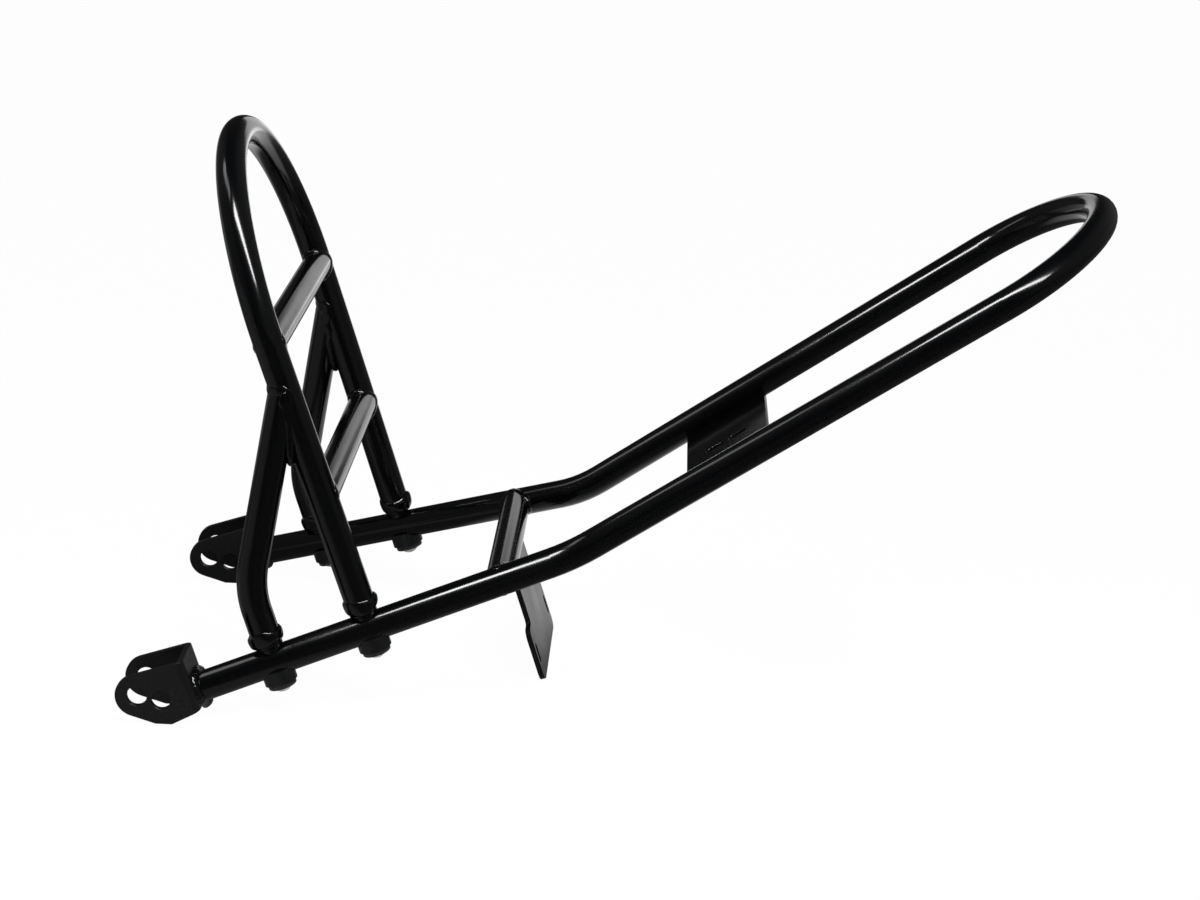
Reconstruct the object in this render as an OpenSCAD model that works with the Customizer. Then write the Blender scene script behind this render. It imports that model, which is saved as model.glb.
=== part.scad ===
// Sissy bar with luggage rack: a long bent loop on two clevis brackets, a bolted-on rack hoop on
// struts, a slotted mount tab and a slotted pad plate. Welded tube, millimetres.
// Rail frame: X runs along the lower rails with X = 0 at the rack's feet, Y is across, Z is square to
// the rails. lay_down() turns it to the pose in which the bar rests on its clevises and its tab.

/* [Tube] */
// Outer diameter of every tube
tube_d = 22.2; // [19:0.1:25.4]
// Wall of every tube
tube_wall = 2; // [1.5:0.1:3]
// Root gap left between welded pieces
root_gap = 0.1; // [0.05:0.05:0.3]
// How much thinner a tube is in its bends
bend_draw = 0.02; // [0.02:0.01:0.1]

/* [Sissy bar loop] */
// Rack feet to the clevis web, along the rails
rail_front = 125; // [110:1:160]
// Rack feet to the bend of the rails
rail_rear = 154; // [130:1:190]
// Rail axis to the middle plane, at the rack feet
rail_half = 118.3; // [105:0.1:130]
// Angle of each lower rail to the middle plane
rail_splay = 14.35; // [8:0.05:16]
// Rise of the upper bar over the lower rails
upper_rise = 15.8; // [5:0.1:30]
// Length of the upper bar, from the bend to the round top
upper_len = 364.5; // [300:0.5:450]
// Angle of each upper leg to the middle plane
upper_flare = 1.63; // [0.5:0.01:3]
// Centre-line radius of the rail bends
rail_bend_r = 90; // [60:1:130]

/* [Luggage rack] */
// Length of the hoop's straight legs, from the rail axis
rack_leg = 224.3; // [190:0.1:280]
// Angle of each hoop leg to the middle plane
rack_flare = 2.42; // [0.5:0.01:4]
// Height of the lower rack crossbar over the rails
rack_bar_low = 106.6; // [80:0.1:125]
// Height of the upper rack crossbar over the rails
rack_bar_high = 224.9; // [165:0.1:235]

/* [Struts] */
// Strut foot in front of the rack foot, along the rails
strut_foot = 70; // [55:1:85]
// Height of the strut's bend over the rails
strut_knee = 58; // [50:1:75]
// Height at which the strut's axis meets the hoop leg
strut_top = 191.4; // [170:0.1:205]
// Centre-line radius of the strut's bend
strut_bend_r = 75; // [50:1:90]

/* [Lower crossbar and mount tab] */
// Lower crossbar behind the rack feet, along the rails
rail_bar_x = 98.8; // [85:0.1:110]
// Offset of the tab's middle behind the crossbar's axis
tab_offset = 2; // [0:0.1:4]
// Thickness of the tab
tab_t = 4; // [3:0.1:6]
// Depth of the tab's foot below the rail axis
tab_drop = 96.8; // [80:0.1:110]
// Width of the tab's stem
tab_stem_w = 86; // [70:1:100]
// Width of the tab's foot
tab_foot_w = 122; // [110:1:140]
// Height of the tab's wide foot
tab_foot_h = 42; // [34:0.5:50]
// Corner radius of the tab
tab_corner_r = 8; // [4:0.5:12]
// Fillet where the stem meets the foot
tab_fillet_r = 4; // [2:0.5:8]
// Centre of each slot from the foot's side
tab_slot_edge = 7.8; // [6:0.1:12]
// Height of the slot centres over the tab's foot
tab_slot_h = 21; // [15:0.5:24]

/* [Pad plate] */
// Middle of the plate from the rail bend, along the upper bar
plate_mid = 131; // [100:1:200]
// Length of the plate along the upper bar
plate_len = 70.4; // [60:0.1:90]
// Thickness of the plate
plate_t = 4; // [3:0.1:6]
// Depth of the plate's top face below the tube axes
plate_sink = 4.4; // [3:0.1:7]
// Distance between the plate's slots, centre to centre
plate_slot_pitch = 19.8; // [18:0.1:24]

/* [Slots] */
// Width of each slot
slot_w = 6.5; // [5:0.1:8.5]
// Length of each slot, end to end
slot_len = 15.4; // [12:0.1:16]

/* [Clevis] */
// Thickness of the folded plate
clevis_t = 5; // [4:0.1:6]
// Outer width over both ears
clevis_w = 43; // [36:0.5:46]
// Outer radius of the two folds
clevis_fold_r = 6; // [5.5:0.1:8]
// Distance of the clevis from the rail axis, towards the middle plane
clevis_inset = 0.5; // [0:0.5:4]
// Radius of the ear's round tip
ear_tip_r = 15.8; // [13:0.1:18]
// Tip hole in front of the web's outer face
ear_reach = 40.2; // [35:0.1:46]
// Height of the tip hole over the rail axis
ear_rise = 12.6; // [10:0.1:16]
// Lowest corner of the ear, in front of the web's outer face
ear_foot_x = 22.6; // [18:0.1:25]
// Lowest corner of the ear, below the rail axis
ear_foot_drop = 15; // [12:0.1:18]
// Length of the flat that the ear stands on
ear_flat = 11.8; // [8:0.1:14]
// Diameter of the four clevis holes
ear_hole_d = 14.6; // [12:0.1:15]
// Distance between the two holes of an ear
ear_hole_pitch = 17.6; // [16.5:0.1:19]
// Angle of the line of holes below the rail direction
ear_hole_angle = 24.5; // [15:0.5:30]

/* [Bolted feet] */
// Thread diameter of the bolts
bolt_d = 8; // [6:0.5:8]
// Clearance around each bolt, on diameter
bolt_gap = 0.4; // [0.2:0.1:0.8]
// Height of the bung's shoulder over the rail axis
bung_top = 21.5; // [19:0.1:26]
// Diameter of the bung's shoulder
bung_d = 20.8; // [18:0.1:22]
// Gap between the bung's shoulder and the crown of the rail
bung_lift = 0.8; // [0.4:0.1:2]
// Bevel on the lower edge of the bung's shoulder
bung_bevel = 0.7; // [0.3:0.1:1.2]
// Diameter of the bung's neck, which is coped to the rail
neck_d = 15; // [12:0.1:17]
// Diameter of the bung's spigot
spigot_d = 16; // [14:0.1:17]
// Length of the bung's spigot in the tube
spigot_len = 9; // [6:0.5:14]
// How far the weld stands out around the foot of a tube
weld_proud = 1.5; // [0.5:0.1:2.5]
// Width of the weld around the foot of a tube
weld_w = 6.6; // [4:0.1:8]
// Diameter of the saddle spacer
saddle_d = 24.4; // [20:0.1:26]
// Height of the saddle spacer below the rail
saddle_h = 5; // [3:0.1:8]
// Diameter of the washer
washer_d = 21; // [18:0.1:24]
// Thickness of the washer
washer_t = 3.6; // [1.6:0.1:4]
// Diameter of the bolt head
head_d = 14; // [11:0.1:16]
// Height of the bolt head
head_h = 4.4; // [3:0.1:5]
// Width across the flats of the bolt's socket
socket_af = 5; // [3:0.5:6]

/* [Hidden] */
$fn = 64;
tube_r = tube_d / 2;
bore_d = tube_d - 2 * tube_wall;
bolt_hole_d = bolt_d + bolt_gap;
eps = 0.01;
bend_lap = 0.5;
cope_run = 12;
far = 1000;

// Rails, as half distances from the middle plane
function rail_y(x) = rail_half - x * tan(rail_splay);
bend_half = rail_y(rail_rear);
function upper_y(s) = bend_half + s * tan(upper_flare);
top_r = upper_y(upper_len) / cos(upper_flare);
top_mid = upper_len + top_r * sin(upper_flare);

// Hoop legs, as half distances from the middle plane
function leg_y(z) = rail_half + z * tan(rack_flare);
hoop_r = leg_y(rack_leg) / cos(rack_flare);
hoop_mid = rack_leg + hoop_r * sin(rack_flare);

// Pose: both ears' flats and the tab's lower edge lie on the floor
web_x = -rail_front;
tab_x = rail_bar_x + tab_offset;
heel = [web_x - ear_foot_x, -ear_foot_drop];
tab_toe = [tab_x - tab_t / 2, -tab_drop];
rest_pitch = atan2(heel.y - tab_toe.y, tab_toe.x - heel.x);
function lie_x(x, z) = x * cos(rest_pitch) - z * sin(rest_pitch);
function lie_z(x, z) = x * sin(rest_pitch) + z * cos(rest_pitch);
tip = [web_x - ear_reach, ear_rise];
top_reach = top_mid + top_r;
top_x = rail_rear + top_reach * cos(upper_rise);
top_z = top_reach * sin(upper_rise);
lie_min_x = lie_x(tip.x, tip.y) - ear_tip_r;
lie_max_x = lie_x(top_x, top_z) + tube_r;
lie_shift = [-(lie_min_x + lie_max_x) / 2, 0, -lie_z(heel.x, heel.y)];

SIDES = [[-1, "right"], [1, "left"]];

// Vectors
function unit(v) = v / norm(v);
function angle_between(a, b) = acos(unit(a) * unit(b));

// Places the children in the pose in which the bar rests
module lay_down() {
    translate(lie_shift)
        rotate([0, -rest_pitch, 0])
            children();
}

// Turns +Z of the children to direction v, and moves them to p
module aim(p, v) {
    translate(p)
        rotate([0, acos(v.z / norm(v)), atan2(v.y, v.x)])
            children();
}

// Round bar of diameter d from a to b
module rod(a, b, d) {
    aim(a, b - a) cylinder(h = norm(b - a), d = d);
}

// Puts the children's X, Y and Z axes on the unit vectors u, v and w, at p
module on_axes(p, u, v, w) {
    multmatrix([
        [u.x, v.x, w.x, p.x],
        [u.y, v.y, w.y, p.y],
        [u.z, v.z, w.z, p.z],
        [0, 0, 0, 1]
    ])
        children();
}

// Round elbow of diameter d, less the draw, at corner p between v_in and v_out, centre-line radius r
module elbow(p, v_in, v_out, r, d) {
    turn = angle_between(v_in, v_out);
    i = unit(v_in);
    o = unit(v_out);
    side = unit(o - i * (i * o));
    centre = p - i * r * tan(turn / 2) + side * r;
    on_axes(centre, -side, i, cross(-side, i))
        rotate_extrude(angle = turn)
            translate([r, 0])
                circle(d = d - bend_draw);
}

// Bent bar of diameter d: straight from a to corner b, an elbow there, and straight on to c.
// Each straight laps a little over the elbow.
module bent_rod(a, b, c, r, d) {
    trim = r * tan(angle_between(b - a, c - b) / 2) - bend_lap;
    rod(a, b - unit(b - a) * trim, d);
    elbow(b, b - a, c - b, r, d);
    rod(b + unit(c - b) * trim, c, d);
}

// Point where the line from p touches the circle about c with radius r, on its clockwise side
function touch_point(p, c, r) =
    let (v = p - c, a = atan2(v.y, v.x) - acos(r / norm(v)))
    c + r * [cos(a), sin(a)];

// Slot outline along X, centred
module slot_shape() {
    run = slot_len - slot_w;
    square([run, slot_w], center = true);
    for (end = [-1, 1])
        translate([end * run / 2, 0]) circle(d = slot_w);
}

// Solid of diameter d along the whole loop, in the rail frame
module loop_body(d) {
    front_x = web_x - tube_d;
    for (side = [-1, 1]) {
        start = [front_x, side * rail_y(front_x), 0];
        corner = [rail_rear, side * bend_half, 0];
        reach = upper_len + bend_lap;
        finish = [
            rail_rear + reach * cos(upper_rise),
            side * upper_y(reach),
            reach * sin(upper_rise)
        ];
        bent_rod(start, corner, finish, rail_bend_r, d);
    }
    translate([rail_rear, 0, 0])
        rotate([0, -upper_rise, 0])
            translate([top_mid, 0, 0])
                rotate([0, 0, -90 - upper_flare])
                    rotate_extrude(angle = 180 + 2 * upper_flare)
                        translate([top_r, 0])
                            circle(d = d - bend_draw);
}

// Everything in front of the clevis web's outer face
module ahead_of_web() {
    translate([web_x + root_gap - far, -far / 2, -far / 2])
        cube(far);
}

// Bolted feet on one side: name, place on the rail's axis, and lean away from the middle plane
function feet(side) = [
    ["rack", [0, side * rail_half, 0], side * rack_flare],
    ["strut", [-strut_foot, side * rail_y(-strut_foot), 0], 0]
];

// Puts the children on a foot, with the bolt's axis along their Z
module on_foot(foot) {
    translate(foot[1])
        rotate([-foot[2], 0, 0])
            children();
}

module sissy_bar_loop() {
    color([0.05, 0.05, 0.055])
        lay_down()
            difference() {
                loop_body(tube_d);
                loop_body(bore_d);
                ahead_of_web();
                for (side = [-1, 1], foot = feet(side))
                    on_foot(foot)
                        cylinder(h = 2 * tube_d, d = bolt_hole_d, center = true);
            }
}

// Side view of the bracket in X and Z, with its web at the right
module ear_shape() {
    flat_end = heel - ear_flat * [cos(rest_pitch), -sin(rest_pitch)];
    low = touch_point(flat_end, tip, ear_tip_r);
    difference() {
        union() {
            translate(tip) circle(r = ear_tip_r);
            polygon([
                tip, low, flat_end, heel, [web_x, -tube_r],
                [web_x, tip.y + ear_tip_r], [tip.x, tip.y + ear_tip_r]
            ]);
        }
        for (step = [0, 1])
            translate(tip + step * ear_hole_pitch * [cos(ear_hole_angle), -sin(ear_hole_angle)])
                circle(d = ear_hole_d);
    }
}

// Top view of the folded plate: web at the right, both ears to the left
module fold_shape() {
    length = ear_reach + ear_tip_r + 1;
    inner_r = clevis_fold_r - clevis_t;
    difference() {
        rounded_end(length, clevis_w, clevis_fold_r);
        translate([-clevis_t, 0])
            rounded_end(length, clevis_w - 2 * clevis_t, inner_r);
    }
}

// Strip of width w that runs from X = 0 to -length, with both corners at X = 0 rounded by r
module rounded_end(length, w, r) {
    translate([-length, -w / 2])
        square([length - r, w]);
    translate([-length, -w / 2 + r])
        square([length, w - 2 * r]);
    for (side = [-1, 1])
        translate([-r, side * (w / 2 - r)])
            circle(r = r);
}

module clevis(side) {
    color([0.06, 0.06, 0.065])
        lay_down()
            translate([0, side * (rail_y(web_x) - clevis_inset), 0])
                intersection() {
                    rotate([90, 0, 0])
                        linear_extrude(clevis_w + 2, center = true)
                            ear_shape();
                    translate([web_x, 0, 0])
                        linear_extrude(far, center = true)
                            fold_shape();
                }
}

module lower_crossbar() {
    color([0.05, 0.05, 0.055])
        lay_down()
            difference() {
                bar_across(rail_bar_x, 0, rail_y(rail_bar_x));
                loop_body(tube_d + 2 * root_gap);
            }
}

// Hollow bar across the middle plane at x and z, from -half to half
module bar_across(x, z, half) {
    translate([x, 0, z])
        rotate([90, 0, 0])
            difference() {
                cylinder(h = 2 * half, d = tube_d, center = true);
                cylinder(h = 2 * half + 2, d = bore_d, center = true);
            }
}

// Front view of the tab in Y and Z
module tab_shape() {
    shoulder = -tab_drop + tab_foot_h;
    difference() {
        union() {
            translate([-tab_stem_w / 2, -tab_drop + tab_corner_r])
                square([tab_stem_w, tab_drop - tab_corner_r - tube_r - root_gap]);
            translate([-tab_foot_w / 2, -tab_drop + tab_corner_r])
                square([tab_foot_w, tab_foot_h - 2 * tab_corner_r]);
            translate([-tab_foot_w / 2 + tab_corner_r, -tab_drop])
                square([tab_foot_w - 2 * tab_corner_r, tab_foot_h]);
            for (side = [-1, 1], z = [-tab_drop + tab_corner_r, shoulder - tab_corner_r])
                translate([side * (tab_foot_w / 2 - tab_corner_r), z])
                    circle(r = tab_corner_r);
            for (side = [-1, 1])
                translate([side * tab_stem_w / 2, shoulder])
                    inner_fillet(side);
        }
        for (side = [-1, 1])
            translate([side * (tab_foot_w / 2 - tab_slot_edge), -tab_drop + tab_slot_h])
                rotate(90)
                    slot_shape();
    }
}

// Concave fillet in the corner above the foot, on the given side of the stem
module inner_fillet(side) {
    difference() {
        translate([side > 0 ? -eps : -tab_fillet_r, -eps])
            square([tab_fillet_r + eps, tab_fillet_r + eps]);
        translate([side * tab_fillet_r, tab_fillet_r])
            circle(r = tab_fillet_r);
    }
}

module mount_tab() {
    color([0.06, 0.06, 0.065])
        lay_down()
            translate([tab_x, 0, 0])
                rotate([90, 0, 90])
                    linear_extrude(tab_t, center = true)
                        tab_shape();
}

// Plate outline along the upper bar: both long edges touch the legs' inner sides
module plate_shape() {
    reach = sqrt(tube_r * tube_r - plate_sink * plate_sink) + root_gap;
    near = plate_mid - plate_len / 2;
    end = plate_mid + plate_len / 2;
    difference() {
        polygon([
            [near, -upper_y(near) + reach], [end, -upper_y(end) + reach],
            [end, upper_y(end) - reach], [near, upper_y(near) - reach]
        ]);
        for (step = [-1, 1])
            translate([plate_mid + step * plate_slot_pitch / 2, 0])
                slot_shape();
    }
}

module pad_plate() {
    color([0.06, 0.06, 0.065])
        lay_down()
            translate([rail_rear, 0, 0])
                rotate([0, -upper_rise, 0])
                    translate([0, 0, -plate_sink - plate_t])
                        linear_extrude(plate_t)
                            plate_shape();
}

// Solid of diameter d along the hoop's two legs, in the rail frame
module hoop_legs(d) {
    reach = rack_leg + bend_lap;
    for (side = [-1, 1])
        rod([0, side * rail_half, 0], [0, side * leg_y(reach), reach], d);
}

// Solid of diameter d along the hoop's round top, run on by an angle beyond both of its ends
module hoop_top(d, beyond) {
    end = 90 + rack_flare + beyond;
    translate([0, 0, hoop_mid])
        rotate([0, -90, 0])
            rotate([0, 0, -end])
                rotate_extrude(angle = 2 * end)
                    translate([hoop_r, 0])
                        circle(d = d);
}

// Solid of diameter d along the whole hoop, in the rail frame
module hoop_body(d) {
    hoop_legs(d);
    hoop_top(d - bend_draw, 0);
}

// Block under the square end of the tube that stands on a foot
module below_tube(foot) {
    on_foot(foot)
        translate([-tube_d, -tube_d, bung_top + root_gap - 3 * tube_d])
            cube([2 * tube_d, 2 * tube_d, 3 * tube_d]);
}

module rack_hoop() {
    color([0.05, 0.05, 0.055])
        lay_down()
            difference() {
                hoop_body(tube_d);
                hoop_body(bore_d);
                for (side = [-1, 1])
                    below_tube(feet(side)[0]);
            }
}

// Rack bar at height z. Its ends are coped by the children.
module rack_crossbar(z) {
    color([0.05, 0.05, 0.055])
        lay_down()
            difference() {
                bar_across(0, z, leg_y(z));
                children();
            }
}

// The upper bar sits where legs and round top meet, so the round top run on downwards copes it
module rack_crossbar_upper() {
    rack_crossbar(rack_bar_high) hoop_top(tube_d + 2 * root_gap, cope_run);
}

module rack_crossbar_lower() {
    rack_crossbar(rack_bar_low) hoop_legs(tube_d + 2 * root_gap);
}

// Solid of diameter d along one strut
module strut_body(side, d) {
    start = feet(side)[1][1];
    knee = start + [0, 0, strut_knee];
    finish = [0, side * leg_y(strut_top), strut_top];
    bent_rod(start, knee, finish, strut_bend_r, d);
}

module strut(side) {
    color([0.05, 0.05, 0.055])
        lay_down()
            difference() {
                strut_body(side, tube_d);
                strut_body(side, bore_d);
                hoop_body(tube_d + 2 * root_gap);
                below_tube(feet(side)[1]);
            }
}

// Rail's outer surface around a foot, with the root gap
module rail_cut(foot) {
    run = 2 * tube_d;
    slope = sign(foot[1].y) * tan(rail_splay);
    rod(foot[1] + [run, -run * slope, 0], foot[1] - [run, -run * slope, 0], tube_d + 2 * root_gap);
}

// Turned bung: a coped neck on the rail, a bevelled shoulder under the tube and a spigot inside it
module bung(foot) {
    low = tube_r + bung_lift;
    color([0.05, 0.05, 0.055])
        lay_down()
            difference() {
                on_foot(foot)
                    difference() {
                        union() {
                            cylinder(h = bung_top, d = neck_d);
                            translate([0, 0, low])
                                cylinder(h = bung_bevel, d1 = bung_d - 2 * bung_bevel, d2 = bung_d);
                            translate([0, 0, low + bung_bevel])
                                cylinder(h = bung_top - low - bung_bevel, d = bung_d);
                            cylinder(h = bung_top + spigot_len, d = spigot_d);
                        }
                        cylinder(h = bung_top + spigot_len / 2, d = bolt_hole_d);
                    }
                rail_cut(foot);
            }
}

// Weld around the seam of bung and tube, with a round crown
module foot_weld(foot) {
    crown_r = (weld_proud * weld_proud + weld_w * weld_w / 4) / (2 * weld_proud);
    color([0.06, 0.06, 0.065])
        lay_down()
            on_foot(foot)
                translate([0, 0, bung_top])
                    rotate_extrude()
                        difference() {
                            translate([tube_r + weld_proud - crown_r, 0])
                                circle(r = crown_r);
                            translate([tube_r + root_gap - far, 0])
                                square(far);
                            translate([bung_d / 2 + root_gap - far, -far])
                                square(far);
                        }
}

module saddle(foot) {
    color([0.07, 0.07, 0.075])
        lay_down()
            difference() {
                on_foot(foot)
                    difference() {
                        translate([0, 0, -tube_r - saddle_h])
                            cylinder(h = tube_r / 2 + saddle_h, d = saddle_d);
                        translate([0, 0, -far / 2])
                            cylinder(h = far, d = bolt_hole_d, center = true);
                    }
                rail_cut(foot);
            }
}

module washer(foot) {
    color([0.07, 0.07, 0.075])
        lay_down()
            on_foot(foot)
                translate([0, 0, -tube_r - saddle_h - washer_t])
                    difference() {
                        cylinder(h = washer_t, d = washer_d);
                        translate([0, 0, -1])
                            cylinder(h = washer_t + 2, d = bolt_hole_d);
                    }
}

// Button head screw with a hexagon socket, seated on the washer from below
module bolt(foot) {
    seat = tube_r + saddle_h + washer_t;
    end = bung_top + spigot_len / 2 - 1;
    dome_r = (head_h * head_h + head_d * head_d / 4) / (2 * head_h);
    color([0.75, 0.75, 0.77])
        lay_down()
            on_foot(foot)
                translate([0, 0, -seat])
                    difference() {
                        union() {
                            cylinder(h = seat + end, d = bolt_d);
                            intersection() {
                                translate([0, 0, -head_h])
                                    cylinder(h = head_h, d = head_d);
                                translate([0, 0, dome_r - head_h])
                                    sphere(r = dome_r);
                            }
                        }
                        translate([0, 0, -head_h - 1])
                            cylinder(h = head_h / 2 + 1, d = socket_af / cos(30), $fn = 6);
                    }
}

sissy_bar_loop();
lower_crossbar();
mount_tab();
pad_plate();
rack_hoop();
rack_crossbar_lower();
rack_crossbar_upper();
for (s = SIDES) {
    clevis(s[0]);
    strut(s[0]);
    for (foot = feet(s[0])) {
        bung(foot);
        foot_weld(foot);
        saddle(foot);
        washer(foot);
        bolt(foot);
    }
}
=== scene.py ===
"""Looks for a sissy bar with luggage rack: powder coat, zinc, soft plate edges and weld beads around the
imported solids, which stay where the frame puts them."""

import math

import bmesh
import bpy
import numpy as np
from bpy.props import FloatProperty, FloatVectorProperty, IntProperty, PointerProperty
from mathutils import Matrix


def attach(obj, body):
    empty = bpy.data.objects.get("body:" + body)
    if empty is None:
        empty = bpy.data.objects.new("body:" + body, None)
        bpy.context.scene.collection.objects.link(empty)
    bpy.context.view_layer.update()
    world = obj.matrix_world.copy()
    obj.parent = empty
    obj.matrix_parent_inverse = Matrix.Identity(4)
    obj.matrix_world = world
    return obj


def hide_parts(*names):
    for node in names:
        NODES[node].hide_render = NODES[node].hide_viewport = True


bl_info = {
    "name": "Sissy bar dressing",
    "version": (1, 0, 0),
    "blender": (4, 5, 0),
    "location": "3D View > Sidebar > Sissy bar",
    "description": "Dresses the packed sissy bar with luggage rack and lights it",
    "category": "Object",
}

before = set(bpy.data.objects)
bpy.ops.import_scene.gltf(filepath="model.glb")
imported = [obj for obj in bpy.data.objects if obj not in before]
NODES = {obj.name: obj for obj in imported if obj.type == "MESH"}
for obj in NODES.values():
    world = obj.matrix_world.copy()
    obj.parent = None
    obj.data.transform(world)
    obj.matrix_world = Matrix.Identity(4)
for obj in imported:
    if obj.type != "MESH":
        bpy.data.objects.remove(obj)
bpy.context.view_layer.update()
SIDES = ((-1.0, "right"), (1.0, "left"))

BEAD_FINISH = "Weld bead"
TUBE_FINISH = "Tube powder coat"
PLATE_FINISH = "Plate powder coat"
SADDLE_FINISH = "Hardware black"
WASHER_FINISH = "Washer black"
BOLT_FINISH = "Zinc plate"
# The finish of a solid whose name holds the word. The others are tubes.
NODE_FINISHES = (
    ("bolt", BOLT_FINISH),
    ("saddle", SADDLE_FINISH),
    ("washer", WASHER_FINISH),
    ("clevis", PLATE_FINISH),
    ("mount_tab", PLATE_FINISH),
)

# Each coat's depth of grain and of orange peel in metres, then the strength of its speckle and its shine.
COATS = {
    TUBE_FINISH: (0.000004, 0.000012, 0.45, 0.5),
    PLATE_FINISH: (0.00005, 0.00003, 0.6, 0.4),
    BEAD_FINISH: (0.00001, 0.00004, 0.4, 0.5),
    SADDLE_FINISH: (0.00004, 0.00002, 0.5, 0.4),
    WASHER_FINISH: (0.00003, 0.00002, 0.6, 0.4),
}
SADDLE_ROUGHNESS, WASHER_ROUGHNESS = 0.3, 0.35
BUMP_STRENGTH = 0.6
# How much wider the orange peel is than the grain, and waves per metre of the drift in roughness and of
# the zinc's mottle.
PEEL_WIDTH = 9
DRIFT_SCALE, MOTTLE_SCALE = 22, 260

# Points around a tube's end, and along the tab's and the plate's welds.
AROUND_END, ALONG_TAB, ALONG_PLATE = 200, 140, 120
# How far these two welds stop short of the edges, in metres.
TAB_SHORT, PLATE_SHORT = 0.001, 0.002
# Points around and across the weld round a foot.
RING_AROUND, RING_ACROSS = 260, 26
# Number of sines in a slow random wave.
SINES = 9
# A bead's crown, at least and at most, and its slow swelling and sliding, all in bead legs; then the
# shortest waves of these two, in metres.
CROWN_LEAST, CROWN_MOST = 0.36, 5.2
SWELL, SLIDE = 0.11, 0.12
SWELL_WAVE, SLIDE_WAVE = 0.009, 0.012
# The weld round a foot, in metres: its shortest wave, how deep it sits in its tube, where it lies along the
# tube from its end and how far it strays there, and its least crown. Its upper round is a share of its half
# width.
RING_WAVE = 0.020
RING_TUCK = 0.0008
RING_PLACE, RING_STRAY = -0.0006, 0.0009
RING_LEAST = 0.0006
RING_RISE = 0.8

# A plate's copy: how near points are merged, which faces count as flat, and which edges as sharp.
MERGE = 0.000002
FLAT_ANGLE = math.radians(0.6)
SHARP_ANGLE = math.radians(35)

FLOOR_HALF = 14.0
# How the gloss sees the floor. Its brightness changes over bands of Y in metres, and of the angle around
# the origin from +X towards +Y in radians.
UNDER_BAND = (-0.32, -0.14)
LEFT_BAND = (-2.45, -2.10)
RIGHT_BAND = (-0.85, -0.60)
BACK_BAND = (0.6, 1.2)
# Two lighter patches lie behind the part. Both end at a right edge, which moves out with Y, and each has
# its own left and front edge and its own brightness.
PATCH_LEAN = (0.0, 3.0, 0.0, 0.6)
PATCH_RIGHT = (0.10, 0.24, 1.0, 0.0)
NEAR_LEFT, NEAR_FRONT = (-0.16, -0.06, 0.0, 1.0), (-0.10, 0.18, 0.0, 0.85)
FAR_LEFT, FAR_FRONT = (-0.70, -0.22, 0.3, 1.0), (0.30, 0.55, 0.0, 0.95)
# How the gloss sees the room, by the X of the direction: its right flank and its left one.
RIGHT_FLANK = (0.0, 0.7, 0.025, 0.15)
LEFT_FLANK = (-0.8, -0.3, 0.09, 0.0)

# Each lamp has the name of its power, then a length, a width, its middle, the direction of its length
# and the point that it faces.
LAMPS = (
    ("key", 1.10, 0.18, (0.09, -0.58, 1.0), (0.862, -0.506, 0.0), (0.09, -0.58, 0.0)),
    ("side", 0.56, 0.18, (-0.72, 0.02, 1.0), (-0.59, 0.81, 0.0), (-0.72, 0.02, 0.0)),
    ("board", 0.76, 0.86, (0.02, 2.0, 0.43), (1.0, 0.0, 0.0), (0.02, 0.0, 0.43)),
)
CAMERA_PLACE = (
    (0.99889477, -0.04090119, 0.02315903, 0.02958526),
    (0.03410009, 0.29151586, -0.95595799, -1.94398173),
    (0.03234859, 0.95569116, 0.2925884, 0.76214168),
    (0, 0, 0, 1),
)


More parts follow.
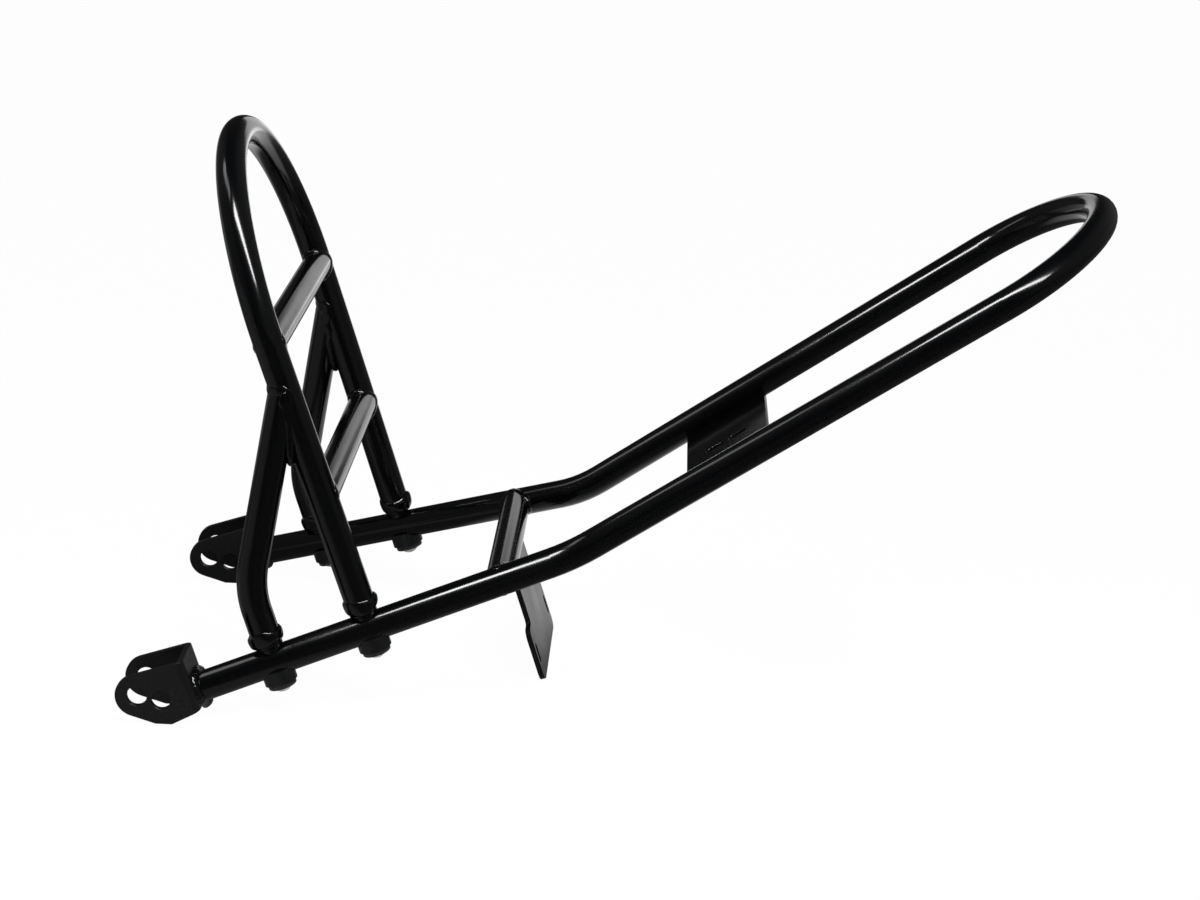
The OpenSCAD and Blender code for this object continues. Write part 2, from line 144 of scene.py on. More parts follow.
class SissyFrame(bpy.types.PropertyGroup):
    """Where the tubes run, in the same rail frame as the part's source, and how that frame lies."""

    pitch: FloatProperty(name="Pitch", description="Slope of the lower rails at rest",
                         default=math.radians(18.3651611), unit="ROTATION")
    shift_x: FloatProperty(name="Shift X", description="Rack feet along X at rest",
                           default=-0.17914805, unit="LENGTH")
    shift_z: FloatProperty(name="Shift Z", description="Height of the rack feet on the rail axis",
                           default=0.06074065, unit="LENGTH")
    tube: FloatProperty(name="Tube", description="Radius of every tube",
                        default=0.0111, unit="LENGTH")
    rail_half: FloatProperty(name="Rail half", description="Rail axis to the middle plane at the rack feet",
                             default=0.1183, unit="LENGTH")
    rail_splay: FloatProperty(name="Rail splay", description="Angle of a rail to the middle plane",
                              default=math.radians(14.35), unit="ROTATION")
    rail_front: FloatProperty(name="Rail front", description="Rack feet to the clevis web",
                              default=0.125, unit="LENGTH")
    rail_rear: FloatProperty(name="Rail rear", description="Rack feet to the rail bend",
                             default=0.154, unit="LENGTH")
    upper_rise: FloatProperty(name="Upper rise", description="Rise of the upper bar over the rails",
                              default=math.radians(15.8), unit="ROTATION")
    upper_flare: FloatProperty(name="Upper flare", description="Angle of an upper leg to the middle plane",
                               default=math.radians(1.63), unit="ROTATION")
    rack_flare: FloatProperty(name="Rack flare", description="Angle of a hoop leg to the middle plane",
                              default=math.radians(2.42), unit="ROTATION")
    bar_low: FloatProperty(name="Lower rack bar", description="Height over the rails",
                           default=0.1066, unit="LENGTH")
    bar_high: FloatProperty(name="Upper rack bar", description="Height over the rails",
                            default=0.2249, unit="LENGTH")
    strut_foot: FloatProperty(name="Strut foot", description="Strut foot in front of the rack foot",
                              default=0.07, unit="LENGTH")
    strut_knee: FloatProperty(name="Strut knee", description="Height of the strut's bend",
                              default=0.058, unit="LENGTH")
    strut_top: FloatProperty(name="Strut top", description="Height at which strut and hoop leg meet",
                             default=0.1914, unit="LENGTH")
    rail_bar: FloatProperty(name="Rail bar", description="Lower crossbar behind the rack feet",
                            default=0.0988, unit="LENGTH")
    bung_top: FloatProperty(name="Bung top", description="Height of the tube ends over the rail axis",
                            default=0.0215, unit="LENGTH")
    bung: FloatProperty(name="Bung", description="Radius of a bung's shoulder",
                        default=0.0104, unit="LENGTH")
    tab_x: FloatProperty(name="Tab", description="Middle of the tab behind the rack feet",
                         default=0.1008, unit="LENGTH")
    tab_half: FloatProperty(name="Tab stem half", description="Half the width of the tab's stem",
                            default=0.043, unit="LENGTH")
    tab_t: FloatProperty(name="Tab thickness", description="Thickness of the tab",
                         default=0.004, unit="LENGTH")
    plate_from: FloatProperty(
        name="Plate start",
        description="Near edge of the pad plate from the rail bend",
        default=0.0958, unit="LENGTH")
    plate_to: FloatProperty(name="Plate end", description="Far edge of the pad plate from the rail bend",
                            default=0.1662, unit="LENGTH")
    plate_sink: FloatProperty(
        name="Plate sink",
        description="Depth of the plate's top face below the tube axes",
        default=0.0044, unit="LENGTH")
    plate_t: FloatProperty(name="Plate thickness", description="Thickness of the pad plate",
                           default=0.004, unit="LENGTH")


class SissyFinish(bpy.types.PropertyGroup):
    """Paint and metal."""

    black: FloatVectorProperty(name="Powder coat", description="Colour of the coated tubes",
                               default=(0.0007, 0.0008, 0.0010), subtype="COLOR", size=3)
    plate_black: FloatVectorProperty(name="Plate coat", description="Colour of the coated plates",
                                     default=(0.0030, 0.0031, 0.0034), subtype="COLOR", size=3)
    hardware_black: FloatVectorProperty(name="Hardware black", description="Colour of the saddles",
                                        default=(0.0035, 0.0037, 0.0040), subtype="COLOR", size=3)
    zinc: FloatVectorProperty(name="Zinc", description="Colour of the bolts",
                              default=(0.50, 0.49, 0.455), subtype="COLOR", size=3)
    washer_black: FloatVectorProperty(name="Washer black", description="Colour of the washers",
                                      default=(0.018, 0.018, 0.0185), subtype="COLOR", size=3)
    tube_gloss: FloatProperty(name="Tube roughness", description="Roughness of the tubes",
                              default=0.14, subtype="FACTOR")
    plate_gloss: FloatProperty(name="Plate roughness", description="Roughness of the plates",
                               default=0.30, subtype="FACTOR")
    grain: FloatProperty(name="Grain", description="Spacing of the coat's grain",
                         default=0.0006, unit="LENGTH")


class SissyWelds(bpy.types.PropertyGroup):
    """Weld beads and edge radii."""

    leg: FloatProperty(name="Bead leg", description="Half the width of a bead across its corner",
                       default=0.0023, unit="LENGTH")
    ripple: FloatProperty(name="Ripple pitch", description="Spacing of the ripples along a bead",
                          default=0.0034, unit="LENGTH")
    ring_proud: FloatProperty(name="Foot ring", description="How far the weld round a foot stands out",
                              default=0.0016, unit="LENGTH")
    ring_half: FloatProperty(name="Foot ring half", description="Half the width of the weld round a foot",
                             default=0.0042, unit="LENGTH")
    ring_skirt: FloatProperty(
        name="Foot ring skirt",
        description="Length of the ring's lower round as a share of its half width",
        default=1.7, subtype="FACTOR")
    edge: FloatProperty(name="Edge radius", description="Radius that the coat gives to plate edges",
                        default=0.0006, unit="LENGTH")
    rows: IntProperty(name="Bead rows", description="Points around a bead's section",
                      default=20, min=8)


class SissyStage(bpy.types.PropertyGroup):
    """Camera, floor and lamps."""

    lens: FloatProperty(name="Lens", description="Focal length on a 36 mm sensor, in millimetres",
                        default=80.3176, unit="CAMERA")
    floor: FloatVectorProperty(name="Floor", description="Floor colour",
                               default=(0.95, 0.95, 0.95), subtype="COLOR", size=3)
    floor_glow: FloatProperty(
        name="Floor glow",
        description="Share of plain white that is seen in the floor",
        default=0.975, subtype="FACTOR")
    gloss_front: FloatProperty(
        name="Front gloss",
        description="Brightness of the floor before the part, as the gloss shows it",
        default=0.01, subtype="FACTOR")
    gloss_under: FloatProperty(
        name="Near gloss",
        description="Brightness of the floor under the part, as the gloss shows it",
        default=0.06, subtype="FACTOR")
    gloss_right: FloatProperty(
        name="Right gloss",
        description="Brightness of the floor right of the part, as the gloss shows it",
        default=0.07, subtype="FACTOR")
    gloss_left: FloatProperty(
        name="Left gloss",
        description="Brightness of the floor left of the part, as the gloss shows it",
        default=0.20, subtype="FACTOR")
    gloss_back: FloatProperty(
        name="Back gloss",
        description="Brightness of the floor behind the part, as the gloss shows it",
        default=0.07, subtype="FACTOR")
    fill: FloatProperty(name="Fill", description="Brightness of the room's soft light",
                        default=0.40, subtype="FACTOR")
    key: FloatProperty(name="Key lamp", description="Power of the overhead lamp",
                       default=16.0, unit="POWER")
    board: FloatProperty(name="Backdrop board", description="Power of the glowing board behind the part",
                         default=1.95, unit="POWER")
    side: FloatProperty(name="Side lamp", description="Power of the weaker lamp on the left",
                        default=0.8, unit="POWER")


def sizes():
    """The sizes of the frame, as the sidebar's group holds them."""
    return bpy.context.scene.sissy_frame


def lay(points):
    """Rail-frame points (…, 3) in metres to the row frame: turned by the pitch about Y, then shifted."""
    f = sizes()
    p = np.asarray(points, float)
    c, s = math.cos(f.pitch), math.sin(f.pitch)
    x = p[..., 0] * c - p[..., 2] * s + f.shift_x
    z = p[..., 0] * s + p[..., 2] * c + f.shift_z
    return np.stack([x, p[..., 1], z], axis=-1)


def rail_y(x):
    """Half the distance between the rails at a place along them."""
    f = sizes()
    return f.rail_half - x * math.tan(f.rail_splay)


def leg_y(z):
    """Half the distance between the hoop's legs at a height over the rails."""
    f = sizes()
    return f.rail_half + z * math.tan(f.rack_flare)


def unit(v):
    """A vector, or each row of an array, at length 1."""
    v = np.asarray(v, float)
    return v / np.linalg.norm(v, axis=-1, keepdims=True)


def put_mesh(name, verts, faces, finish):
    """A closed mesh from arrays. Its faces are turned outwards if its signed volume is negative."""
    verts = np.asarray(verts, float)
    tri = faces[:, :3]
    a, b, c = (verts[tri[:, k]] for k in range(3))
    volume = np.einsum("ij,ij->i", a, np.cross(b, c)).sum()
    if faces.shape[1] == 4:
        a, b, c = verts[faces[:, 0]], verts[faces[:, 2]], verts[faces[:, 3]]
        volume += np.einsum("ij,ij->i", a, np.cross(b, c)).sum()
    if volume < 0:
        faces = faces[:, ::-1]
    mesh = bpy.data.meshes.new(name)
    mesh.from_pydata(verts.tolist(), [], faces.tolist())
    mesh.polygons.foreach_set("use_smooth", np.ones(len(mesh.polygons), bool))
    mesh.validate()
    mesh.update()
    piece = bpy.data.objects.new(name, mesh)
    bpy.context.scene.collection.objects.link(piece)
    mesh.materials.append(bpy.data.materials[finish])
    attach(piece, "root")
    return piece


def ring_grid(n, m, closed):
    """Quads of an n by m grid that is closed across m, and along n too if asked."""
    i = np.arange(n if closed else n - 1)[:, None]
    j = np.arange(m)[None, :]
    i2, j2 = (i + 1) % n, (j + 1) % m
    q = np.stack(np.broadcast_arrays(i * m + j, i2 * m + j, i2 * m + j2, i * m + j2), axis=-1)
    return q.reshape(-1, 4)


def wander(s, total, seed, shortest):
    """A smooth random wave over arc length s, closed over the total length: a sum of sines whose whole
    numbers of waves run up to total / shortest, with seeded phases; its size is about 1."""
    rng = np.random.default_rng(seed)
    top = max(3, int(total / shortest))
    waves = rng.integers(1, top + 1, SINES)
    phase = rng.uniform(0, 2 * math.pi, SINES)
    share = rng.uniform(0.4, 1.0, SINES)
    angles = 2 * math.pi * waves[:, None] * (s / total)[None, :] + phase[:, None]
    return (share[:, None] * np.sin(angles)).sum(0) / math.sqrt((share ** 2).sum() / 2)


def bead(name, line, first, second, seed, size=1.0, closed=True):
    """A weld bead along a line of points in the rail frame, in the corner between two surfaces with the
    given outward normals. Its section is a drop on the corner's bisector: from a little behind the root of
    the corner out to the crown, where the corner is about as wide as the bead, and its half width is a
    sine of the turn times a power of the share of depth, so that a narrow corner gets a wedge with a round
    crown and an open one an ellipse. It swells and shrinks with a crescent ripple, an absolute sine of the
    arc length that leads at the crown, and with a slow random wave. An open bead tapers at both ends."""
    w = bpy.context.scene.sissy_welds
    line, first, second = (np.asarray(v, float) for v in (line, first, second))
    n, m = len(line), w.rows
    if closed:
        step = np.roll(line, -1, 0) - line
        tangent = unit(np.roll(line, -1, 0) - np.roll(line, 1, 0))
    else:
        step = np.diff(line, axis=0, append=line[-1:])
        tangent = unit(np.gradient(line, axis=0))
    length = np.linalg.norm(step, axis=1)
    s = np.concatenate([[0], np.cumsum(length)[:-1]])
    total = length.sum()
    first, second = unit(first), unit(second)
    out = first + second
    out = unit(out - (out * tangent).sum(1, keepdims=True) * tangent)
    across = np.cross(tangent, out)
    half_open = 0.5 * (math.pi - np.arccos(np.clip((first * second).sum(1), -1, 1)))
    rho = w.leg * size
    crown = np.clip(1.1 * rho / np.tan(half_open), CROWN_LEAST * rho, CROWN_MOST * rho)
    tuck = rho * np.clip(0.2 + 0.6 * half_open, 0.2, 0.75)
    spread = rho * (1.05 + 0.5 * np.clip((half_open - 0.8) / 0.6, 0, 1))
    power = 0.55 * np.clip((0.9 - half_open) / 0.5, 0, 1)
    psi = np.linspace(0, 2 * math.pi, m, endpoint=False)
    deep = 0.5 * (1 + np.cos(psi))
    peak = 2 * np.sqrt((power + 0.5) * 0.5) / (power + 1) * ((power + 0.5) / (power + 1)) ** power
    wide = np.sin(psi)[None, :] * deep[None, :] ** power[:, None] * (spread / peak)[:, None]
    tall = (crown + tuck)[:, None] * deep[None, :] - tuck[:, None]
    count = max(4, round(total / w.ripple))
    lead = 0.35 * np.clip(np.cos(psi), 0, None)
    phase = count * s[:, None] / total + lead[None, :]
    ripple = 0.94 + 0.09 * np.sqrt(np.abs(np.sin(math.pi * phase)))
    slow = 1 + SWELL * wander(s, total, seed, SWELL_WAVE)
    slide = SLIDE * rho * wander(s, total, seed + 7, SLIDE_WAVE)
    grow = ripple * slow[:, None]
    if not closed:
        u = s / total
        grow = grow * np.sqrt(np.clip(1 - np.abs(2 * u - 1) ** 16, 1e-4, 1))[:, None]
    centre = line + slide[:, None] * across
    verts = (centre[:, None, :] + (grow * tall)[..., None] * out[:, None, :]
             + (grow * wide)[..., None] * across[:, None, :])
    verts = lay(verts.reshape(-1, 3))
    faces = ring_grid(n, m, closed)
    if closed:
        return put_mesh(name, verts, faces, BEAD_FINISH)
    ends = lay(centre[[0, -1]])
    start, end = len(verts), len(verts) + 1
    j = np.arange(m)
    k = (j + 1) % m
    top = (n - 1) * m
    first_cap = np.stack([np.full(m, start), j, k], 1)
    last_cap = np.stack([np.full(m, end), top + k, top + j], 1)
    split = np.vstack([faces[:, [0, 1, 2]], faces[:, [0, 2, 3]], first_cap, last_cap])
    return put_mesh(name, np.vstack([verts, ends]), split, BEAD_FINISH)


def foot_ring(name, centre, axis, seed):
    """The lumpy weld round the foot of a tube, in the rail frame. For each angle around the axis its
    section is a crown that runs up to the tube's side in a short round and down to the bung's in a long
    one; the crown's height, its width and its place along the axis change with a few slow random waves and
    a fine ripple."""
    f = sizes()
    w = bpy.context.scene.sissy_welds
    axis = unit(axis)
    u = unit(np.cross(axis, (0, 1, 0)))
    v = np.cross(axis, u)
    n, m = RING_AROUND, RING_ACROSS
    phi = np.linspace(0, 2 * math.pi, n, endpoint=False)
    e = np.cos(phi)[:, None] * u + np.sin(phi)[:, None] * v
    total = 2 * math.pi * f.tube
    s = phi * f.tube
    proud = w.ring_proud * (1.08 + 0.34 * wander(s, total, seed, RING_WAVE))
    half = w.ring_half * (1 + 0.15 * wander(s, total, seed + 3, RING_WAVE))
    slide = RING_PLACE + RING_STRAY * wander(s, total, seed + 5, RING_WAVE)
    scallop = np.sqrt(np.abs(np.sin(math.pi * round(total / (2.2 * w.ripple)) * s / total)))
    proud = np.clip(proud, RING_LEAST, None) * (0.9 + 0.14 * scallop)
    psi = np.linspace(0, 2 * math.pi, m, endpoint=False)
    wide = np.sin(psi)
    tall = np.sign(np.cos(psi)) * np.abs(np.cos(psi)) ** 0.6
    radius = np.where(wide > 0, f.tube, f.bung)[None, :] - RING_TUCK
    reach = radius + np.where(tall > 0, proud[:, None] + f.tube - radius, RING_TUCK) * tall[None, :]
    round_off = np.where(wide > 0, RING_RISE, w.ring_skirt) * wide
    height = slide[:, None] + half[:, None] * round_off[None, :]
    verts = np.asarray(centre) + reach[..., None] * e[:, None, :] + height[..., None] * axis
    verts = lay(verts.reshape(-1, 3))
    return put_mesh(name, verts, ring_grid(n, m, True), BEAD_FINISH)


def saddle_line(start, along, at, axis, radius):
    """Where a round tube of a radius, which comes from start in direction along, first meets another tube
    of that radius about the axis through at: for each angle around the branch, the smaller root of the
    squared distance to the axis. Returns the points and both surface normals there."""
    along, axis = unit(along), unit(axis)
    u = unit(np.cross(along, axis))
    v = np.cross(along, u)
    phi = np.linspace(0, 2 * math.pi, AROUND_END, endpoint=False)[:, None]
    e = np.cos(phi) * u + np.sin(phi) * v
    q = np.asarray(start) + radius * e
    offset = q - np.asarray(at)
    offset = offset - (offset @ axis)[:, None] * axis
    slant = along - (along @ axis) * axis
    towards = offset @ slant
    square = slant @ slant
    root = np.sqrt(np.clip(towards ** 2 - square * ((offset ** 2).sum(1) - radius ** 2), 0, None))
    p = q + ((-towards - root) / square)[:, None] * along
    main = p - np.asarray(at)
    main = main - (main @ axis)[:, None] * axis
    return p, e, unit(main)


def web_line(web, along, radius):
    """Where a rail of a radius, whose axis runs through web in direction along, meets the flat clevis web
    square to X: from each point of the circle around the axis, back along the rail to the web's plane.
    Returns the points and both surface normals there."""
    along = unit(along)
    up = np.array([0, 0, 1.0])
    phi = np.linspace(0, 2 * math.pi, AROUND_END, endpoint=False)[:, None]
    e = np.cos(phi) * up + np.sin(phi) * np.cross(along, up)
    q = web + radius * e
    p = q - ((q[:, 0] - web[0]) / along[0])[:, None] * along
    return p, e, np.broadcast_to((1.0, 0, 0), e.shape)


def tab_line(way):
    """Where the tab's front face (way -1) or rear face (way 1) meets the lower crossbar's underside: a
    straight line across, at the depth of the bar's circle below that face. Returns the points and both
    surface normals there."""
    f = sizes()
    reach = f.tab_half - TAB_SHORT
    y = np.linspace(-reach, reach, ALONG_TAB)
    x = f.tab_x + way * 0.5 * f.tab_t - f.rail_bar
    z = -math.sqrt(f.tube * f.tube - x * x)
    line = np.stack([np.full_like(y, f.rail_bar + x), y, np.full_like(y, z)], 1)
    bar_out = np.broadcast_to((x / f.tube, 0, z / f.tube), line.shape)
    return line, bar_out, np.broadcast_to((way, 0, 0.0), line.shape)


def plate_line(side):
    """Where the pad plate's underside meets an upper leg: a straight line along the leg, inside its axis
    by the half width of the leg's circle at that depth. Returns the points and both surface normals
    there."""
    f = sizes()
    c, t = math.cos(f.upper_rise), math.sin(f.upper_rise)
    run = np.linspace(f.plate_from + PLATE_SHORT, f.plate_to - PLATE_SHORT, ALONG_PLATE)
    drop = -f.plate_sink - f.plate_t
    inset = math.sqrt(f.tube * f.tube - drop * drop)
    half = rail_y(f.rail_rear) + run * math.tan(f.upper_flare) - inset
    line = np.stack([f.rail_rear + run * c - drop * t, side * half, run * t + drop * c], 1)
    leg_out = np.array([-drop / f.tube * -t, -side * inset / f.tube, drop / f.tube * c])
    leg_out = np.broadcast_to(leg_out, line.shape)
    return line, leg_out, np.broadcast_to((t, 0, -c), line.shape)


def soft_edges(names, width, finish):
    """Merged copies of plates and discs with all sharp edges rounded over, in place of the originals."""
    for name in names:
        mesh = NODES[name].data.copy()
        mesh.name = name + "_coated"
        work = bmesh.new()
        work.from_mesh(mesh)
        bmesh.ops.remove_doubles(work, verts=work.verts, dist=MERGE)
        bmesh.ops.dissolve_limit(work, angle_limit=FLAT_ANGLE, verts=work.verts, edges=work.edges)
        work.to_mesh(mesh)
        work.free()
        carried = mesh.attributes.get("custom_normal")
        if carried:
            mesh.attributes.remove(carried)
        mesh.polygons.foreach_set("use_smooth", np.ones(len(mesh.polygons), bool))
        piece = bpy.data.objects.new(name + "_coated", mesh)
        bpy.context.scene.collection.objects.link(piece)
        mesh.materials.clear()
        mesh.materials.append(bpy.data.materials[finish])
        bevel = piece.modifiers.new("Soft edges", "BEVEL")
        bevel.width = width
        bevel.segments = 3
        bevel.limit_method = "ANGLE"
        bevel.angle_limit = SHARP_ANGLE
        bevel.use_clamp_overlap = True
        bevel.harden_normals = True
        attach(piece, "root")
        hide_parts(name)


def remap(tree, source, low, high, start, end, kind="LINEAR"):
    """A value moved from the range low to high into start to end, and held beyond both ends."""
    step = tree.nodes.new("ShaderNodeMapRange")
    step.interpolation_type = kind
    for key, value in (("From Min", low), ("From Max", high), ("To Min", start), ("To Max", end)):
        step.inputs[key].default_value = value
    tree.links.new(source, step.inputs["Value"])
    return step.outputs["Result"]


def ramp(tree, source, low, high, start, end):
    """A smooth step of a value: start below low, end above high."""
    return remap(tree, source, low, high, start, end, "SMOOTHSTEP")


def combine(tree, kind, *sources):
    """Two or more values through one kind of maths node, one after the other."""
    total = sources[0]
    for source in sources[1:]:
        step = tree.nodes.new("ShaderNodeMath")
        step.operation = kind
        tree.links.new(total, step.inputs[0])
        tree.links.new(source, step.inputs[1])
        total = step.outputs[0]
    return total


def blend(tree, share, first, second):
    """Two shaders mixed by a value: the first at 0, the second at 1."""
    mix = tree.nodes.new("ShaderNodeMixShader")
    tree.links.new(share, mix.inputs["Fac"])
    tree.links.new(first, mix.inputs[1])
    tree.links.new(second, mix.inputs[2])
    return mix.outputs[0]


def noise(tree, scale, detail, roughness=0.5):
    """Noise that is fixed to the part, with its scale per metre."""
    place = tree.nodes.new("ShaderNodeTexCoord")
    waves = tree.nodes.new("ShaderNodeTexNoise")
    for key, value in (("Scale", scale), ("Detail", detail), ("Roughness", roughness)):
        waves.inputs[key].default_value = value
    tree.links.new(place.outputs["Object"], waves.inputs["Vector"])
    return waves.outputs["Fac"]


def tinted(tree, colour, share):
    """A colour times a value."""
    mix = tree.nodes.new("ShaderNodeMix")
    mix.data_type = "RGBA"
    mix.blend_type = "MULTIPLY"
    mix.inputs["Factor"].default_value = 1.0
    mix.inputs["A"].default_value = (*colour, 1)
    tree.links.new(share, mix.inputs["B"])
    return mix.outputs["Result"]


def bump(tree, height, depth, strength, below=None):
    """A bump of a depth in metres, on top of another one if that is given."""
    step = tree.nodes.new("ShaderNodeBump")
    step.inputs["Distance"].default_value = depth
    step.inputs["Strength"].default_value = strength
    tree.links.new(height, step.inputs["Height"])
    if below is not None:
        tree.links.new(below, step.inputs["Normal"])
    return step.outputs["Normal"]


def axes_of(tree, kind):
    """The X and Y of one kind of texture coordinate."""
    place = tree.nodes.new("ShaderNodeTexCoord")
    split = tree.nodes.new("ShaderNodeSeparateXYZ")
    tree.links.new(place.outputs[kind], split.inputs["Vector"])
    return split.outputs["X"], split.outputs["Y"]


def new_finish(name):
    """A finish with one shader, and the tree that they are in."""
    material = bpy.data.materials.new(name)
    material.use_nodes = True
    tree = material.node_tree
    tree.nodes.clear()
    out = tree.nodes.new("ShaderNodeOutputMaterial")
    shader = tree.nodes.new("ShaderNodeBsdfPrincipled")
    tree.links.new(shader.outputs["BSDF"], out.inputs["Surface"])
    return tree, shader


def coat(name, colour, roughness, grain, grain_depth, peel_depth, speckle, shine):
    """Powder coat: a colour with a fine speckle, a roughness that drifts a little, and two bumps, a fine
    grain and a wider orange peel."""
    tree, shader = new_finish(name)
    fine = noise(tree, 1 / grain, 2.0, 0.65)
    wide = noise(tree, 1 / (grain * PEEL_WIDTH), 2.0)
    slow = noise(tree, DRIFT_SCALE, 3.0)
    tint = remap(tree, fine, 0.35, 0.72, 1 - speckle, 1 + speckle * 2.2)
    gloss = remap(tree, slow, 0.3, 0.7, roughness * 0.82, roughness * 1.22)
    peel = bump(tree, wide, peel_depth, BUMP_STRENGTH)
    tree.links.new(tinted(tree, colour, tint), shader.inputs["Base Color"])
    tree.links.new(gloss, shader.inputs["Roughness"])
    tree.links.new(bump(tree, fine, grain_depth, BUMP_STRENGTH, peel), shader.inputs["Normal"])
    shader.inputs["Specular IOR Level"].default_value = shine


def zinc(name, colour):
    """Zinc plate: a pale, partly metallic shine with a faint mottle in its colour, roughness and bump."""
    tree, shader = new_finish(name)
    mottle = noise(tree, MOTTLE_SCALE, 4.0)
    tint = remap(tree, mottle, 0.3, 0.7, 0.86, 1.08)
    gloss = remap(tree, mottle, 0.0, 1.0, 0.20, 0.36)
    tree.links.new(tinted(tree, colour, tint), shader.inputs["Base Color"])
    tree.links.new(gloss, shader.inputs["Roughness"])
    tree.links.new(bump(tree, mottle, 0.00003, 0.5), shader.inputs["Normal"])
    shader.inputs["Metallic"].default_value = 0.2


def floor_finish(s):
    """White floor: the camera sees it as plain white with a little shade, and light falls on it as on
    paper. The gloss of the part sees it darker, by bands and patches."""
    material = bpy.data.materials.new("Floor")
    material.use_nodes = True
    tree = material.node_tree
    tree.nodes.clear()
    out = tree.nodes.new("ShaderNodeOutputMaterial")
    paper = tree.nodes.new("ShaderNodeBsdfDiffuse")
    paper.inputs["Color"].default_value = (*s.floor, 1)
    glow = tree.nodes.new("ShaderNodeEmission")
    path = tree.nodes.new("ShaderNodeLightPath")
    rays = [path.outputs[f"Is {kind} Ray"] for kind in ("Camera", "Glossy", "Transmission")]
    share = tree.nodes.new("ShaderNodeMath")
    share.operation = "MULTIPLY"
    share.inputs[1].default_value = s.floor_glow
    tree.links.new(combine(tree, "MAXIMUM", *rays), share.inputs[0])
    x, y = axes_of(tree, "Object")
    turn = combine(tree, "ARCTAN2", y, x)
    lean = ramp(tree, y, *PATCH_LEAN)
    right_edge = ramp(tree, combine(tree, "SUBTRACT", x, lean), *PATCH_RIGHT)
    level = combine(
        tree, "MAXIMUM",
        ramp(tree, y, *UNDER_BAND, s.gloss_front, s.gloss_under),
        ramp(tree, turn, *LEFT_BAND, s.gloss_left, 0.0),
        ramp(tree, turn, *RIGHT_BAND, 0.0, s.gloss_right),
        ramp(tree, turn, *BACK_BAND, 0.0, s.gloss_back),
        combine(tree, "MULTIPLY", ramp(tree, x, *NEAR_LEFT), right_edge, ramp(tree, y, *NEAR_FRONT)),
        combine(tree, "MULTIPLY", ramp(tree, x, *FAR_LEFT), right_edge, ramp(tree, y, *FAR_FRONT)),
        rays[0],
    )
    tree.links.new(level, glow.inputs["Strength"])
    seen = blend(tree, share.outputs[0], paper.outputs[0], glow.outputs[0])
    tree.links.new(seen, out.inputs["Surface"])
    return material


def studio_world(s):
    """Room: white to the camera and through glass, a dark room with two lighter flanks to the gloss, and
    an even soft light for all else."""
    world = bpy.data.worlds.new("Studio")
    world.use_nodes = True
    tree = world.node_tree
    tree.nodes.clear()
    out = tree.nodes.new("ShaderNodeOutputWorld")
    white, soft, room = (tree.nodes.new("ShaderNodeBackground") for _ in range(3))
    for light in (white, soft):
        light.inputs["Color"].default_value = (1, 1, 1, 1)
    soft.inputs["Strength"].default_value = s.fill
    x, _ = axes_of(tree, "Generated")
    flanks = combine(tree, "ADD", ramp(tree, x, *RIGHT_FLANK), ramp(tree, x, *LEFT_FLANK))
    tree.links.new(flanks, room.inputs["Strength"])
    path = tree.nodes.new("ShaderNodeLightPath")
    unseen = blend(tree, path.outputs["Is Glossy Ray"], soft.outputs[0], room.outputs[0])
    seen = combine(tree, "MAXIMUM", path.outputs["Is Camera Ray"], path.outputs["Is Transmission Ray"])
    tree.links.new(blend(tree, seen, unseen, white.outputs[0]), out.inputs["Surface"])
    return world


def hang_lamp(name, power, length, width, at, run, aim):
    """A flat lamp at a point, which faces another one, with its length along a direction. The camera
    doesn't see it. The board shows in gloss and adds no soft light."""
    lamp = bpy.data.lights.new(name, "AREA")
    lamp.shape = "RECTANGLE"
    lamp.size, lamp.size_y = length, width
    lamp.energy = power
    holder = bpy.data.objects.new(name, lamp)
    bpy.context.scene.collection.objects.link(holder)
    back = unit(np.subtract(at, aim))
    right = unit(np.asarray(run) - (np.asarray(run) @ back) * back)
    turned = np.stack([right, np.cross(back, right), back, at], 1)
    holder.matrix_world = Matrix((*turned.tolist(), (0, 0, 0, 1)))
    holder.visible_camera = False
    holder.visible_diffuse = name != "board"


class SISSY_OT_finishes(bpy.types.Operator):
    """Makes the finishes and gives each carried-over solid its own"""

    bl_idname = "sissy.finishes"
    bl_label = "Make the finishes"

    def execute(self, context):
        s = context.scene.sissy_finish
        for name, colour, roughness in (
            (TUBE_FINISH, s.black, s.tube_gloss),
            (PLATE_FINISH, s.plate_black, s.plate_gloss),
            (BEAD_FINISH, s.black, s.tube_gloss),
            (SADDLE_FINISH, s.hardware_black, SADDLE_ROUGHNESS),
            (WASHER_FINISH, s.washer_black, WASHER_ROUGHNESS),
        ):
            coat(name, colour, roughness, s.grain, *COATS[name])
        zinc(BOLT_FINISH, s.zinc)
        for name, node in NODES.items():
            finish = next((finish for word, finish in NODE_FINISHES if word in name), TUBE_FINISH)
            node.data.materials.clear()
            node.data.materials.append(bpy.data.materials[finish])
        width = context.scene.sissy_welds.edge
        soft_edges(("clevis_left", "clevis_right", "mount_tab"), width, PLATE_FINISH)
        soft_edges(("pad_plate",), width, TUBE_FINISH)
        for kind, finish in (("saddle", SADDLE_FINISH), ("washer", WASHER_FINISH)):
            soft_edges([name for name in NODES if kind in name], 0.7 * width, finish)
        return {"FINISHED"}


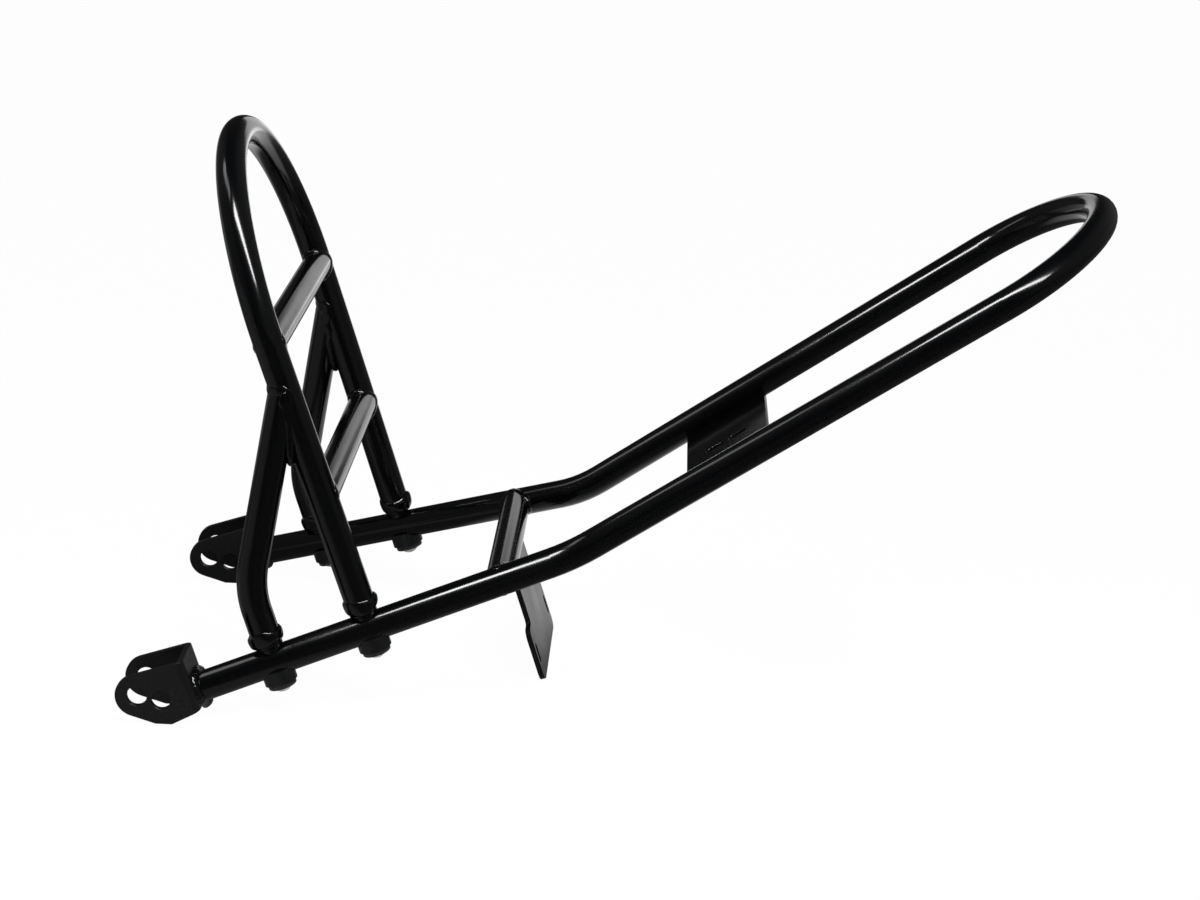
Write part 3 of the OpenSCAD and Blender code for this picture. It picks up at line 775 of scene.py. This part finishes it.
class SISSY_OT_welds(bpy.types.Operator):
    """Lays a lumpy bead along every welded joint"""

    bl_idname = "sissy.welds"
    bl_label = "Lay the weld beads"

    def execute(self, context):
        f = context.scene.sissy_frame
        r = f.tube
        seed = 11
        for side, word in SIDES:
            leg = np.array([0, side * math.tan(f.rack_flare), 1.0])
            foot = np.array([0, side * f.rail_half, 0])
            for z, which in ((f.bar_low, "low"), (f.bar_high, "high")):
                seed += 1
                corner = saddle_line((0, 0, z), (0, side, 0), foot, leg, r)
                bead(f"weld_rack_bar_{which}_{word}", *corner, seed)
            rail = np.array([-1.0, side * math.tan(f.rail_splay), 0])
            seed += 1
            corner = saddle_line((f.rail_bar, 0, 0), (0, side, 0), foot, rail, r)
            bead(f"weld_rail_bar_{word}", *corner, seed)
            strut_at = np.array([-f.strut_foot, side * rail_y(-f.strut_foot), 0])
            start = strut_at + (0, 0, f.strut_knee)
            end = np.array([0, side * leg_y(f.strut_top), f.strut_top])
            seed += 1
            corner = saddle_line(start, end - start, foot, leg, r)
            bead(f"weld_strut_{word}", *corner, seed, size=1.25)
            for kind, at, axis in (("rack", foot, leg), ("strut", strut_at, np.array([0, 0, 1.0]))):
                seed += 11
                ring = foot_ring(f"weld_{kind}_foot_{word}", at + unit(axis) * f.bung_top, axis, seed)
                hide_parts(f"{kind}_weld_{word}")
            web = np.array([-f.rail_front, side * rail_y(-f.rail_front), 0])
            seed += 1
            corner = web_line(web, (1.0, -side * math.tan(f.rail_splay), 0), r)
            bead(f"weld_clevis_{word}", *corner, seed, size=1.7)
        for way, word in ((-1, "front"), (1, "rear")):
            seed += 1
            bead(f"weld_tab_{word}", *tab_line(way), seed, size=0.9, closed=False)
        for side, word in SIDES:
            seed += 1
            bead(f"weld_plate_{word}", *plate_line(side), seed, size=0.8, closed=False)
        return {"FINISHED"}


class SISSY_OT_stage(bpy.types.Operator):
    """Sets the floor, the lamps, the world and the camera"""

    bl_idname = "sissy.stage"
    bl_label = "Set the stage"

    def execute(self, context):
        s = context.scene.sissy_stage
        scene = context.scene
        scene.view_settings.view_transform = "Standard"
        corners = [(x * FLOOR_HALF, y * FLOOR_HALF, 0) for x, y in ((-1, -1), (1, -1), (1, 1), (-1, 1))]
        mesh = bpy.data.meshes.new("floor")
        mesh.from_pydata(corners, [], [(0, 1, 2, 3)])
        floor = bpy.data.objects.new("floor", mesh)
        scene.collection.objects.link(floor)
        mesh.materials.append(floor_finish(s))
        scene.world = studio_world(s)
        for name, *where in LAMPS:
            hang_lamp(name, getattr(s, name), *where)
        camera = bpy.data.cameras.new("camera")
        camera.sensor_fit = "HORIZONTAL"
        camera.sensor_width = 36.0
        camera.lens = s.lens
        holder = bpy.data.objects.new("camera", camera)
        scene.collection.objects.link(holder)
        holder.matrix_world = Matrix(CAMERA_PLACE)
        scene.camera = holder
        return {"FINISHED"}


class SISSY_PT_panel(bpy.types.Panel):
    """Lists the steps"""

    bl_idname = "SISSY_PT_panel"
    bl_label = "Sissy bar"
    bl_space_type = "VIEW_3D"
    bl_region_type = "UI"
    bl_category = "Sissy bar"

    def draw(self, context):
        for step in STEPS:
            self.layout.operator(step.bl_idname)


GROUPS = (
    (SissyFrame, "sissy_frame"),
    (SissyFinish, "sissy_finish"),
    (SissyWelds, "sissy_welds"),
    (SissyStage, "sissy_stage"),
)
STEPS = (SISSY_OT_stage, SISSY_OT_finishes, SISSY_OT_welds)


def register():
    """Adds the groups of sizes, the steps and the panel."""
    for group, name in GROUPS:
        bpy.utils.register_class(group)
        setattr(bpy.types.Scene, name, PointerProperty(type=group))
    for step in STEPS + (SISSY_PT_panel,):
        bpy.utils.register_class(step)


def unregister():
    """Takes them out again."""
    for step in (SISSY_PT_panel,) + STEPS[::-1]:
        bpy.utils.unregister_class(step)
    for group, name in GROUPS[::-1]:
        delattr(bpy.types.Scene, name)
        bpy.utils.unregister_class(group)


def main():
    """Runs the steps."""
    register()
    bpy.ops.sissy.stage()
    bpy.ops.sissy.finishes()
    bpy.ops.sissy.welds()
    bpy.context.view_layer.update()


if __name__ == "__main__":
    main()
